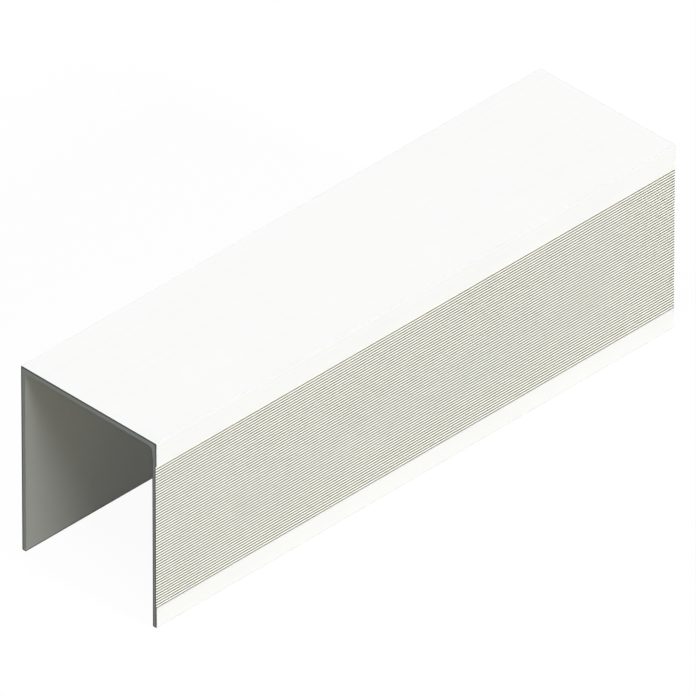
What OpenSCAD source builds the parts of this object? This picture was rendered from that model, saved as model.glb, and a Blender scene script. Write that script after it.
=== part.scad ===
// Sliding door track: one extruded channel that hangs open side down, with one reeded leg.
// Width runs along X, length along Y and height along Z. The feet of the two legs stand on Z = 0.

/* [Channel] */
// Overall width across the two legs
width = 59.5; // [40:0.5:120]
// Overall height, from the feet to the top of the web
height = 70; // [40:0.5:120]
// Cut length of the piece
length = 228; // [50:1:3000]

/* [Walls] */
// Thickness of the web across the top
web_t = 2; // [1.2:0.1:4]
// Thickness of the plain leg
plain_leg_t = 1.7; // [1.2:0.1:4]
// Thickness of the reeded leg, out to its crests
reeded_leg_t = 1.9; // [1.6:0.1:4]
// Fillet inside the channel, where the web meets each leg
fillet_r = 2; // [0.5:0.1:6]
// Small round on the outer corners and on both edges of each foot
edge_r = 0.3; // [0.1:0.05:0.5]

/* [Reeding] */
// Distance from one groove to the next
groove_pitch = 1.01; // [0.8:0.01:2]
// Depth of each rounded groove
groove_depth = 0.45; // [0.2:0.01:0.6]
// Flat crest left between two grooves
crest_w = 0.1; // [0.05:0.01:0.3]
// Plain band on the reeded face, above the first groove
top_band = 8.6; // [3:0.1:15]
// Plain band on the reeded face, kept free below the last groove
bottom_band = 7.8; // [3:0.1:15]
// How far that lower band lies behind the crests
band_recess = 0.2; // [0.05:0.05:0.5]

/* [Hidden] */
$fn = 64;
// How far a cutter reaches past the face that it cuts
cut_over = 1;
// Outer faces of the legs
face_x = width / 2;
// Inner faces of the legs and of the web
plain_in_x = plain_leg_t - face_x;
reeded_in_x = face_x - reeded_leg_t;
web_in_z = height - web_t;
// A groove is an arc: its width on the face and its depth give its radius
groove_w = groove_pitch - crest_w;
groove_r = (pow(groove_w / 2, 2) + pow(groove_depth, 2)) / (2 * groove_depth);
groove_count = floor((height - top_band - bottom_band) / groove_pitch);
groove_top_z = height - top_band - groove_pitch / 2;
// Lower edge of the crest that ends the row of grooves, and outer face of the band below it
reeding_end_z = groove_top_z - (groove_count - 0.5) * groove_pitch - crest_w / 2;
band_x = face_x - band_recess;
profile_colour = [0.97, 0.97, 0.94];

// What a round of radius r leaves over in a square corner at the origin, with the body towards -x and -y
module corner_waste(r) {
    difference() {
        translate([-r, -r])
            square(r + cut_over);
        translate([-r, -r])
            circle(r);
    }
}

// Blank of the section: a full rectangle, set back at the lower band, with its four outer corners rounded
module blank_2d() {
    difference() {
        translate([-face_x, 0])
            square([width, height]);
        translate([band_x, -cut_over])
            square([band_recess + cut_over, reeding_end_z + cut_over]);
        for (side = [0, 1]) {
            mirror([side, 0])
                translate([face_x, height])
                    corner_waste(edge_r);
        }
        translate([band_x, 0])
            mirror([0, 1])
                corner_waste(edge_r);
        translate([-face_x, 0])
            rotate(180)
                corner_waste(edge_r);
    }
}

// Space between the legs, open at the feet and filleted under the web
module channel_2d() {
    difference() {
        translate([plain_in_x, -cut_over])
            square([reeded_in_x - plain_in_x, web_in_z + cut_over]);
        translate([reeded_in_x, web_in_z])
            corner_waste(fillet_r);
        translate([plain_in_x, web_in_z])
            mirror([1, 0])
                corner_waste(fillet_r);
    }
}

// Waste off the inner edge of each foot
module inner_foot_waste_2d() {
    translate([reeded_in_x, 0])
        rotate(180)
            corner_waste(edge_r);
    translate([plain_in_x, 0])
        mirror([0, 1])
            corner_waste(edge_r);
}

// Row of rounded grooves down the outer face of the +X leg
module reeding_2d() {
    for (i = [0 : groove_count - 1]) {
        translate([face_x + groove_r - groove_depth, groove_top_z - i * groove_pitch])
            circle(groove_r);
    }
}

// The die's section, drawn with its height along y
module section_2d() {
    difference() {
        blank_2d();
        channel_2d();
        inner_foot_waste_2d();
        reeding_2d();
    }
}

module track_channel() {
    color(profile_colour)
        rotate([90, 0, 0])
            linear_extrude(length, center = true)
                section_2d();
}

track_channel();
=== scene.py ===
"""Looks of the sliding door track: a coated aluminium channel with a reeded leg, on a pale floor."""
import math
from collections import namedtuple

import bpy
from mathutils import Matrix, Vector


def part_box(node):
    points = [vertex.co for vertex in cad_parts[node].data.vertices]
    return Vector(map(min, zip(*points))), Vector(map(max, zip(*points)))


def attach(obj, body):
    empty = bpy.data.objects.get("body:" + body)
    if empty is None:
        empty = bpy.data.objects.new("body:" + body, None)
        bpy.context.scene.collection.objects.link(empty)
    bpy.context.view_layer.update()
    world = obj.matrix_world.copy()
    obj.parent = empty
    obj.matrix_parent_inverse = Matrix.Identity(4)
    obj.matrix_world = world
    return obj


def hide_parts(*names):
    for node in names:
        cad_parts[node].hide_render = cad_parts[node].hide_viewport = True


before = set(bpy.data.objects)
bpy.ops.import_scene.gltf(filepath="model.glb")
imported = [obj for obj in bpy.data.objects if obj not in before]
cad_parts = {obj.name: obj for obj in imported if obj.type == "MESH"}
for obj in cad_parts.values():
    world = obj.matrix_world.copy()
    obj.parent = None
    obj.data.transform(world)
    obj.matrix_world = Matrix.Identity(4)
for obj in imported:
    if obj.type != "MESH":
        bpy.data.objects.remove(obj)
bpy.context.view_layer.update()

# Size of the channel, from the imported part
NODE = "track_channel"
LOW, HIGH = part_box(NODE)
FACE_X = (HIGH.x - LOW.x) / 2
HEIGHT = HIGH.z - LOW.z
LENGTH = HIGH.y - LOW.y
CENTRE = (LOW + HIGH) / 2

# Section of the channel, in metres
MM = 0.001
WEB_T = 2 * MM
PLAIN_LEG_T = 1.7 * MM
REEDED_LEG_T = 1.9 * MM
FILLET_R = 2 * MM
EDGE_R = 0.3 * MM
GROOVE_PITCH = 1.01 * MM
GROOVE_DEPTH = 0.45 * MM
CREST_W = 0.1 * MM
TOP_BAND = 8.6 * MM
BOTTOM_BAND = 7.8 * MM
BAND_RECESS = 0.2 * MM
WEB_IN_Z = HEIGHT - WEB_T
PLAIN_IN_X = FACE_X - PLAIN_LEG_T
REEDED_IN_X = FACE_X - REEDED_LEG_T
BAND_X = FACE_X - BAND_RECESS
GROOVE_W = GROOVE_PITCH - CREST_W
GROOVE_R = ((GROOVE_W / 2) ** 2 + GROOVE_DEPTH ** 2) / (2 * GROOVE_DEPTH)
GROOVE_COUNT = math.floor((HEIGHT - TOP_BAND - BOTTOM_BAND) / GROOVE_PITCH)

# Sawn ends: the broken edge, the darker rim of painted shade along it, as a share of the wall,
# its height over the feet, and how strong it is on the inner side of the reeded leg
END_CHAMFER = 0.06 * MM
RIM_SHARE = 0.38
FOOT_RIM_H = 0.45 * MM
INNER_RIM = 0.6

# Painted shade on the coat: its share of grey on the outer corners, which dims their highlight, and how
# far up the inner side of a foot the painted shadow reaches
CORNER_PAINTED_SHADE = 0.25
FOOT_SHADOW_H = EDGE_R + 0.5 * MM

# Where the grey line of painted shade lies in a groove, as a share of the way from its middle to its
# lips:
# it grows towards the lower lip, and it starts again on the upper lip of every groove but the first
LOWER_SHADE_LINE = (0.78, 0.93)
UPPER_SHADE_LINE = (0.96, 0.995)

# Fineness of the round stretches
EDGE_STEPS = 6
GROOVE_STEPS = 16
SMOOTH_ANGLE = math.radians(35)

# Where each part of the surface lies on the texture map, from bottom to top
UV_MAP = "OFBake"
UV_OUTER = (0.005, 0.455)
UV_INNER = (0.465, 0.915)
UV_FEET = (0.92, 0.935)
UV_ENDS = ((0.94, 0.965), (0.97, 0.995))
UV_ALONG = (0, 0.015, 0.02, 0.98, 0.985, 1)
UV_PLAIN_SHARE = 0.4
FOOT_U = 0.48
FOOT_U_STEP = 0.5

# What the mesh tells its materials at each point: the depth in a groove, where the coat is painted
# lighter, the painted shade of the grey lines, corners and feet, and the painted shade on the rim of a
# sawn end
RECESS = "recess"
PAINTED_SHADE = "line"
RIM = "rim"

# One place along the section: a point on the outer face, the inner point behind it, the depth
# in a groove, the share of painted shade on each side, and the strength of the rim's painted shade on
# the inner side
Place = namedtuple(
    "Place",
    "outer inner recess line inner_line inner_rim",
    defaults=(0.0, 0.0, 0.0, 0.0),
)


def ramp(value, low, high):
    """0 up to low, 1 from high on."""
    return min(1.0, max(0.0, (value - low) / (high - low)))


def arc(centre, radius, start, end, steps):
    """Points of an arc in the section's plane, from one angle to another, in degrees."""
    turns = [math.radians(start + (end - start) * i / steps) for i in range(steps + 1)]
    return [Vector((centre[0] + radius * math.cos(a), centre[1] + radius * math.sin(a))) for a in turns]


def leg_ends(foot_x, inner_x, inner_rim):
    """The wall of a leg on the +X side, at its foot and at its corner with the web."""
    foot = zip(
        arc((foot_x - EDGE_R, EDGE_R), EDGE_R, 270, 360, EDGE_STEPS),
        arc((inner_x + EDGE_R, EDGE_R), EDGE_R, 270, 180, EDGE_STEPS),
    )
    corner = zip(
        arc((FACE_X - EDGE_R, HEIGHT - EDGE_R), EDGE_R, 0, 90, EDGE_STEPS),
        arc((inner_x - FILLET_R, WEB_IN_Z - FILLET_R), FILLET_R, 0, 90, EDGE_STEPS),
    )
    foot_places = []
    # Painted shadow: full grey on the inner side of each foot, fading out up the foot; the rim's painted
    # shade on the inner side is strongest at the foot's bottom
    for i, pair in enumerate(foot):
        foot_rim = max(inner_rim, 1 - i / EDGE_STEPS)
        foot_places.append(Place(*pair, inner_line=1.0, inner_rim=foot_rim))
    # Where the painted shadow on the inner side of the foot has faded out
    shadow_end = Vector((foot_x, FOOT_SHADOW_H)), Vector((inner_x, FOOT_SHADOW_H))
    foot_places.append(Place(*shadow_end, inner_rim=inner_rim))
    corner_places = []
    for i, pair in enumerate(corner):
        # Painted shade on the outer corner's round, to dim its highlight
        corner_shade = CORNER_PAINTED_SHADE * math.sin(math.pi * i / EDGE_STEPS)
        corner_places.append(Place(*pair, line=corner_shade))
    return foot_places, corner_places


def reeds():
    """The reeded stretch of the +X leg, from the top down, with the step to its lower band."""
    half_angle = math.degrees(math.asin(min(1, GROOVE_W / 2 / GROOVE_R)))
    centre_x = FACE_X + GROOVE_R - GROOVE_DEPTH
    top_z = HEIGHT - TOP_BAND - GROOVE_PITCH / 2
    places = []
    for i in range(GROOVE_COUNT):
        centre_z = top_z - i * GROOVE_PITCH
        groove = arc((centre_x, centre_z), GROOVE_R, 180 - half_angle, 180 + half_angle, GROOVE_STEPS)
        for point in groove:
            down = (centre_z - point.y) / (GROOVE_W / 2)
            # A grey line of painted shade near the lips of each groove
            upper_line = ramp(-down, *UPPER_SHADE_LINE) if i else 0.0
            line = max(ramp(down, *LOWER_SHADE_LINE), upper_line)
            recess = (FACE_X - point.x) / GROOVE_DEPTH
            inner = Vector((REEDED_IN_X, point.y))
            places.append(Place(point, inner, recess, line, inner_rim=INNER_RIM))
    end_z = places[-1].outer.y - CREST_W
    for x, share in ((FACE_X, 2 / 3), (BAND_X, 1 / 3)):
        inner = Vector((REEDED_IN_X, end_z + CREST_W * share))
        places.append(Place(Vector((x, end_z)), inner, inner_rim=INNER_RIM))
    return places


def section_wall():
    """The whole wall from the plain leg's foot, over the web, to the reeded leg's foot."""
    foot, corner = leg_ends(BAND_X, REEDED_IN_X, INNER_RIM)
    plain_foot, plain_corner = leg_ends(FACE_X, PLAIN_IN_X, 0.0)
    mirror = Matrix.Diagonal((-1, 1))
    plain_leg = [
        p._replace(outer=mirror @ p.outer, inner=mirror @ p.inner) for p in plain_foot + plain_corner
    ]
    return plain_leg + corner[::-1] + reeds() + foot[::-1]


def run_lengths(points, shares):
    """Distance along a line of points as a share of the whole, each step counted at its own share."""
    lengths = [0.0]
    for a, b, share in zip(points, points[1:], shares):
        lengths.append(lengths[-1] + (b - a).length * share)
    return [x / lengths[-1] for x in lengths]


def ring(wall, y, inset, share, lift):
    """Points of the wall at one place along the length, outer and inner in turn.

    They are drawn in from both faces by inset, and then by a share of the wall that is left.
    The feet are drawn up by lift, which fades out at the top of the stretch where shadow is painted on
    them.
    """
    points = []
    for place in wall:
        across = place.inner - place.outer
        step = across.normalized() * inset
        step += (across - 2 * step) * share
        for p in (place.outer + step, place.inner - step):
            points.append((p.x, y, p.y + lift * max(0.0, 1 - p.y / FOOT_SHADOW_H)))
    return points


def end_stations():
    """Rings along the length: rim, edge and start of the body at each end.

    Each has its place, inset, share and lift.
    """
    end = LENGTH / 2
    near = [
        (-end, END_CHAMFER, RIM_SHARE, FOOT_RIM_H),
        (-end, END_CHAMFER, 0, END_CHAMFER),
        (-end + END_CHAMFER, 0, 0, 0),
    ]
    return near + [(-y, *drawn) for y, *drawn in reversed(near)]


class Quads:
    """Faces over the rings, with their places on the texture map and which of them are sawn."""

    def __init__(self, ring_size):
        self.ring_size = ring_size
        self.faces = []
        self.uvs = []
        self.sawn = []

    def add(self, corners, places, band, bare):
        """One face: each corner is a ring, a place along the wall and a side, 0 outer or 1 inner."""
        self.faces.append([k * self.ring_size + j * 2 + side for k, j, side in corners])
        self.uvs.extend((u, band[0] + (band[1] - band[0]) * v) for u, v in places)
        self.sawn.append(int(bare))


def add_sides(quads, outer_u, inner_u, body):
    """The two faces of the wall and the feet, from ring to ring: all but the body's stretch is sawn."""
    last = len(outer_u) - 1
    for k, (v0, v1) in enumerate(zip(UV_ALONG, UV_ALONG[1:])):
        bare = k != body
        for j in range(last):
            quads.add(
                [(k, j, 0), (k, j + 1, 0), (k + 1, j + 1, 0), (k + 1, j, 0)],
                [(outer_u[j], v0), (outer_u[j + 1], v0), (outer_u[j + 1], v1), (outer_u[j], v1)],
                UV_OUTER, bare,
            )
            quads.add(
                [(k, j, 1), (k + 1, j, 1), (k + 1, j + 1, 1), (k, j + 1, 1)],
                [(inner_u[j], v0), (inner_u[j], v1), (inner_u[j + 1], v1), (inner_u[j + 1], v0)],
                UV_INNER, bare,
            )
        for foot, (j, near, far) in enumerate(((0, 0, 1), (last, 1, 0))):
            u0, u1 = (foot * FOOT_U_STEP + FOOT_U * v for v in (v0, v1))
            quads.add(
                [(k, j, near), (k + 1, j, near), (k + 1, j, far), (k, j, far)],
                [(u0, 0), (u1, 0), (u1, 1), (u0, 1)],
                UV_FEET, bare,
            )


def add_ends(quads, outer_u, far_end):
    """The middle of the two sawn ends, inside their rims."""
    for j, (here, there) in enumerate(zip(outer_u, outer_u[1:])):
        quads.add(
            [(0, j, 0), (0, j, 1), (0, j + 1, 1), (0, j + 1, 0)],
            [(here, 0), (here, 1), (there, 1), (there, 0)],
            UV_ENDS[0], True,
        )
        quads.add(
            [(far_end, j, 0), (far_end, j + 1, 0), (far_end, j + 1, 1), (far_end, j, 1)],
            [(here, 0), (there, 0), (there, 1), (here, 1)],
            UV_ENDS[1], True,
        )


def surface_marks(wall, ring_count):
    """What the mesh tells its materials at each point of the rings."""
    marks = {RECESS: [], PAINTED_SHADE: [], RIM: []}
    for k in range(ring_count):
        on_rim = float(k not in (0, ring_count - 1))
        for place in wall:
            marks[RECESS] += [place.recess, 0.0]
            marks[PAINTED_SHADE] += [place.line, place.inner_line]
            marks[RIM] += [on_rim, on_rim * place.inner_rim]
    return marks


def build_channel():
    """The channel as clean quads: both faces of the wall, the feet, and the sawn ends."""
    wall = section_wall()
    stations = end_stations()
    shares = [1 if a.recess or b.recess else UV_PLAIN_SHARE for a, b in zip(wall, wall[1:])]
    outer_u = run_lengths([p.outer for p in wall], shares)
    inner_u = run_lengths([p.inner for p in wall], [1] * len(shares))
    quads = Quads(2 * len(wall))
    add_sides(quads, outer_u, inner_u, len(stations) // 2 - 1)
    add_ends(quads, outer_u, len(stations) - 1)

    mesh = bpy.data.meshes.new("channel")
    mesh.from_pydata([p for station in stations for p in ring(wall, *station)], [], quads.faces)
    mesh.uv_layers.new(name=UV_MAP)
    mesh.uv_layers[UV_MAP].uv.foreach_set("vector", [x for uv in quads.uvs for x in uv])
    mesh.polygons.foreach_set("material_index", quads.sawn)
    for name, values in surface_marks(wall, len(stations)).items():
        mesh.attributes.new(name, "FLOAT", "POINT").data.foreach_set("value", values)
    mesh.shade_smooth()
    mesh.set_sharp_from_angle(angle=SMOOTH_ANGLE)
    mesh.validate()
    channel = bpy.data.objects.new("channel", mesh)
    bpy.context.scene.collection.objects.link(channel)
    weighted = channel.modifiers.new("face_weighted_normals", "WEIGHTED_NORMAL")
    weighted.keep_sharp = True
    return channel


# The range that most noise values keep to, and the sockets of a Mix node that blends colours
NOISE_SPREAD = (0.3, 0.7)
MIX_SHARE = 0
MIX_FIRST = 6
MIX_SECOND = 7
MIX_RESULT = 2


class Nodes:
    """A short way to add nodes to one material or world."""

    def __init__(self, tree):
        self.tree = tree

    def add(self, kind, inputs=None, **settings):
        node = self.tree.nodes.new(kind)
        for name, value in settings.items():
            setattr(node, name, value)
        for name, value in (inputs or {}).items():
            self.put(node, name, value)
        return node

    def put(self, node, name, value):
        """Links a socket to an input, or sets the input to a plain value."""
        if isinstance(value, bpy.types.NodeSocket):
            self.tree.links.new(value, node.inputs[name])
        else:
            node.inputs[name].default_value = value

    def mark(self, name):
        return self.add("ShaderNodeAttribute", attribute_name=name).outputs["Fac"]

    def noise(self, coords, scale, detail):
        inputs = {"Vector": coords, "Scale": scale, "Detail": detail}
        return self.add("ShaderNodeTexNoise", inputs).outputs[0]

    def remap(self, value, low, high, spread=NOISE_SPREAD):
        """A noise value, or any other, brought to the range from low to high."""
        ends = {"From Min": spread[0], "From Max": spread[1], "To Min": low, "To Max": high}
        return self.add("ShaderNodeMapRange", {"Value": value, **ends}).outputs[0]

    def math(self, operation, first, second):
        return self.add("ShaderNodeMath", {0: first, 1: second}, operation=operation).outputs[0]

    def mix(self, share, first, second, blend="MIX"):
        """One colour over another."""
        colours = {MIX_SHARE: share, MIX_FIRST: first, MIX_SECOND: second}
        return self.add("ShaderNodeMix", colours, data_type="RGBA", blend_type=blend).outputs[MIX_RESULT]

    def bump(self, height, strength, depth, below=None):
        inputs = {"Height": height, "Strength": strength, "Distance": depth}
        if below:
            inputs["Normal"] = below
        return self.add("ShaderNodeBump", inputs).outputs[0]

    def stretched(self, coords, scale):
        return self.add("ShaderNodeMapping", {"Vector": coords, "Scale": scale}).outputs[0]

    def shifted(self, coords, offset):
        return self.add("ShaderNodeMapping", {"Vector": coords, "Location": offset}).outputs[0]

    def blend_shaders(self, share, first, second):
        return self.add("ShaderNodeMixShader", {0: share, 1: first.outputs[0], 2: second.outputs[0]})


def new_material(name):
    material = bpy.data.materials.new(name)
    material.use_nodes = True
    nodes = Nodes(material.node_tree)
    shader = material.node_tree.nodes["Principled BSDF"]
    coords = nodes.add("ShaderNodeTexCoord").outputs["Object"]
    return material, nodes, shader, coords


WHITE = (1, 1, 1, 1)

# Powder coat: its colour on the plain faces and deep in the grooves, where it is creamier and painted
# lighter, the grey of the painted shade on lines, corners and feet, its roughness, and the darkest that
# its clouds and die lines make it
COAT = (0.925, 0.922, 0.938, 1)
GROOVE_CREAM_PAINTED_LIGHT = (0.96, 0.955, 0.885, 1)
PAINTED_SHADE_GREY = (0.05, 0.05, 0.02, 1)
COAT_ROUGHNESS = (0.4, 0.52)
FAINTEST = 0.985

# Grain of the coat: how fine per metre, how many layers of detail, and strength and depth of its bump
CLOUDS_PER_M = 45
CLOUDS_DETAIL = 3
PEEL_PER_M = 1400
PEEL_DETAIL = 3
PEEL_BUMP = (0.04, 0.05 * MM)
DIE_LINES_PER_M = (1600, 5, 1600)
DIE_LINES_DETAIL = 2
DIE_LINES_BUMP = (0.05, 0.02 * MM)


def coat_material():
    """Satin off-white powder coat: fine orange peel, faint lines along the die's pull, grey lines of
    painted shade, and painted light deep in the grooves.
    """
    material, nodes, shader, coords = new_material("powder_coat")
    # Deep in the grooves the coat is creamier and painted lighter, as painted light
    groove_painted_light = nodes.mix(nodes.mark(RECESS), COAT, GROOVE_CREAM_PAINTED_LIGHT)
    # The grey of painted shade on the grooves' lips, the outer corners and the feet
    with_painted_shade = nodes.mix(nodes.mark(PAINTED_SHADE), groove_painted_light, PAINTED_SHADE_GREY)
    clouds = nodes.noise(coords, CLOUDS_PER_M, CLOUDS_DETAIL)
    drawn = nodes.noise(nodes.stretched(coords, DIE_LINES_PER_M), 1, DIE_LINES_DETAIL)
    peel = nodes.noise(coords, PEEL_PER_M, PEEL_DETAIL)
    shade = nodes.math("MULTIPLY", nodes.remap(clouds, FAINTEST, 1), nodes.remap(drawn, FAINTEST, 1))
    drawn_bump = nodes.bump(drawn, *DIE_LINES_BUMP)
    nodes.put(shader, "Base Color", nodes.mix(1, with_painted_shade, shade, "MULTIPLY"))
    nodes.put(shader, "Roughness", nodes.remap(peel, *COAT_ROUGHNESS))
    nodes.put(shader, "Normal", nodes.bump(peel, *PEEL_BUMP, drawn_bump))
    return material


# Sawn aluminium: the tones between the saw's arcs, the rim's painted shade and where it fades out, and
# the roughness
SAWN_DARK = (0.335, 0.37, 0.38, 1)
SAWN_LIGHT = (0.465, 0.51, 0.525, 1)
RIM_SHADE_GREY = (0.14, 0.145, 0.14, 1)
RIM_FADE = (0, 0.45)
SAWN_ROUGHNESS = (0.42, 0.6)

# Grain of the sawn ends: where the origin lies from the middle of the blade, the saw's arcs round
# that middle and the fine grain, both per metre, and strength and depth of the arcs' bump
ORIGIN_FROM_BLADE = (0.14, 0, 0.11)
ARCS_PER_M = 520
ARCS_WAVER = {"Distortion": 2.5, "Detail": 2, "Detail Scale": 60}
ARCS_SPREAD = (0.05, 0.55)
ARCS_BUMP = (0.25, 0.03 * MM)
GRAIN_PER_M = 5200
GRAIN_DETAIL = 2


def sawn_material():
    """Bare sawn aluminium on the two ends, with the blade's shallow arcs and a darker rim of painted
    shade.
    """
    material, nodes, shader, coords = new_material("sawn_aluminium")
    from_blade = nodes.shifted(coords, ORIGIN_FROM_BLADE)
    arcs = nodes.add(
        "ShaderNodeTexWave",
        {"Vector": from_blade, "Scale": ARCS_PER_M, **ARCS_WAVER},
        wave_type="RINGS",
        rings_direction="Y",
    ).outputs["Fac"]
    grain = nodes.noise(coords, GRAIN_PER_M, GRAIN_DETAIL)
    tone = nodes.remap(nodes.math("MULTIPLY", arcs, grain), 0, 1, ARCS_SPREAD)
    face = nodes.mix(tone, SAWN_DARK, SAWN_LIGHT)
    # The painted shade along the rim of each sawn end
    rim = nodes.remap(nodes.mark(RIM), 0, 1, RIM_FADE)
    rimmed = nodes.mix(1, face, nodes.mix(rim, WHITE, RIM_SHADE_GREY), "MULTIPLY")
    nodes.put(shader, "Base Color", rimmed)
    nodes.put(shader, "Roughness", nodes.remap(grain, *SAWN_ROUGHNESS))
    nodes.put(shader, "Normal", nodes.bump(arcs, *ARCS_BUMP))
    return material


# Studio: the floor's half width and its gap under the feet, its colour as it lights the object and
# as it is seen, how much of what is seen glows, the white backdrop, and the soft light from all round
FLOOR_REACH = 3
FLOOR_GAP = 0.2 * MM
FLOOR_GREY = (0.2, 0.2, 0.14, 1)
FLOOR_PAPER = (0.95, 0.95, 0.95, 1)
PAPER_GLOW = 0.95
WHITE_LEVEL = 1.0
AMBIENT = (0.99, 1, 0.85, 1)
AMBIENT_LEVEL = 0.15

# Lamps: azimuth, elevation, the brightness of a white face square to the lamp, and softness, in degrees
LAMPS = {
    "front": (45, 70.5, 0.535, 25),
    "side": (95, 22, 0.8, 10),
    "back": (265, 8, 0.62, 14),
}


def seen_directly(nodes):
    """1 for the rays that show the background: those of the camera, of gloss and through glass."""
    path = nodes.add("ShaderNodeLightPath").outputs
    shown = nodes.math("MAXIMUM", path["Is Camera Ray"], path["Is Glossy Ray"])
    return nodes.math("MAXIMUM", shown, path["Is Transmission Ray"])


def make_world():
    """White to look at, and a soft even light on the object."""
    world = bpy.data.worlds.new("studio")
    world.use_nodes = True
    world.node_tree.nodes.clear()
    nodes = Nodes(world.node_tree)
    light = nodes.add("ShaderNodeBackground", {"Color": AMBIENT, "Strength": AMBIENT_LEVEL})
    backdrop = nodes.add("ShaderNodeBackground", {"Color": WHITE, "Strength": WHITE_LEVEL})
    both = nodes.blend_shaders(seen_directly(nodes), light, backdrop)
    nodes.add("ShaderNodeOutputWorld", {"Surface": both.outputs[0]})
    bpy.context.scene.world = world


def floor_material():
    """Paper that is near white to look at, grey to the object, and clear from below."""
    material = bpy.data.materials.new("floor_paper")
    material.use_nodes = True
    material.node_tree.nodes.clear()
    nodes = Nodes(material.node_tree)
    paper = nodes.add("ShaderNodeBsdfDiffuse", {"Color": FLOOR_PAPER})
    glow = nodes.add("ShaderNodeEmission", {"Color": WHITE, "Strength": WHITE_LEVEL})
    shown = nodes.blend_shaders(PAPER_GLOW, paper, glow)
    grey = nodes.add("ShaderNodeBsdfDiffuse", {"Color": FLOOR_GREY})
    above = nodes.blend_shaders(seen_directly(nodes), grey, shown)
    clear = nodes.add("ShaderNodeBsdfTransparent", {"Color": WHITE})
    from_below = nodes.add("ShaderNodeNewGeometry").outputs["Backfacing"]
    surface = nodes.blend_shaders(from_below, above, clear)
    nodes.add("ShaderNodeOutputMaterial", {"Surface": surface.outputs[0]})
    return material


def make_floor():
    """A pale floor that keeps a faint shadow, seen from above only."""
    mesh = bpy.data.meshes.new("floor")
    sides = [(-1, -1), (1, -1), (1, 1), (-1, 1)]
    corners = [(x * FLOOR_REACH, y * FLOOR_REACH, -FLOOR_GAP) for x, y in sides]
    mesh.from_pydata(corners, [], [(0, 1, 2, 3)])
    mesh.materials.append(floor_material())
    floor = bpy.data.objects.new("floor", mesh)
    bpy.context.scene.collection.objects.link(floor)


def towards(azimuth, elevation):
    """Unit vector to a place round the object: azimuth 0 is the -Y side and 90 the +X side."""
    a, e = math.radians(azimuth), math.radians(elevation)
    return Vector((math.sin(a) * math.cos(e), -math.cos(a) * math.cos(e), math.sin(e)))


def make_lamps():
    """Distant soft lamps round the object."""
    for name, (azimuth, elevation, brightness, softness) in LAMPS.items():
        lamp = bpy.data.lights.new(name, "SUN")
        lamp.energy = math.pi * brightness
        lamp.angle = math.radians(softness)
        sun = bpy.data.objects.new(name, lamp)
        sun.rotation_mode = "QUATERNION"
        sun.rotation_quaternion = towards(azimuth, elevation).to_track_quat("Z", "Y")
        bpy.context.scene.collection.objects.link(sun)


# Camera: an isometric view, from far enough off that parallel edges stay nearly parallel.
# The width of the view is at the object, and the sensor and the lens are in millimetres.
VIEW_AZIMUTH = 45
VIEW_ELEVATION = math.degrees(math.atan(1 / math.sqrt(2)))
VIEW_WIDTH = 216.65 * MM
SENSOR = 36
LENS = 1700
AIM_SHIFT = Vector((-0.52 * MM, -0.41 * MM, 0))


def make_camera():
    """The camera, aimed at the middle of the channel but for a small shift of the frame."""
    data = bpy.data.cameras.new("camera")
    data.sensor_width = SENSOR
    data.lens = LENS
    distance = VIEW_WIDTH * LENS / SENSOR
    data.clip_end = 2 * distance
    camera = bpy.data.objects.new("camera", data)
    back = towards(VIEW_AZIMUTH, VIEW_ELEVATION)
    camera.rotation_mode = "QUATERNION"
    camera.rotation_quaternion = (-back).to_track_quat("-Z", "Y")
    camera.location = CENTRE + camera.rotation_quaternion @ AIM_SHIFT + back * distance
    bpy.context.scene.collection.objects.link(camera)
    bpy.context.scene.camera = camera


channel = build_channel()
channel.data.materials.append(coat_material())
channel.data.materials.append(sawn_material())
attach(channel, "root")
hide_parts(NODE)
make_world()
make_floor()
make_lamps()
make_camera()
bpy.context.scene.view_settings.view_transform = "Standard"
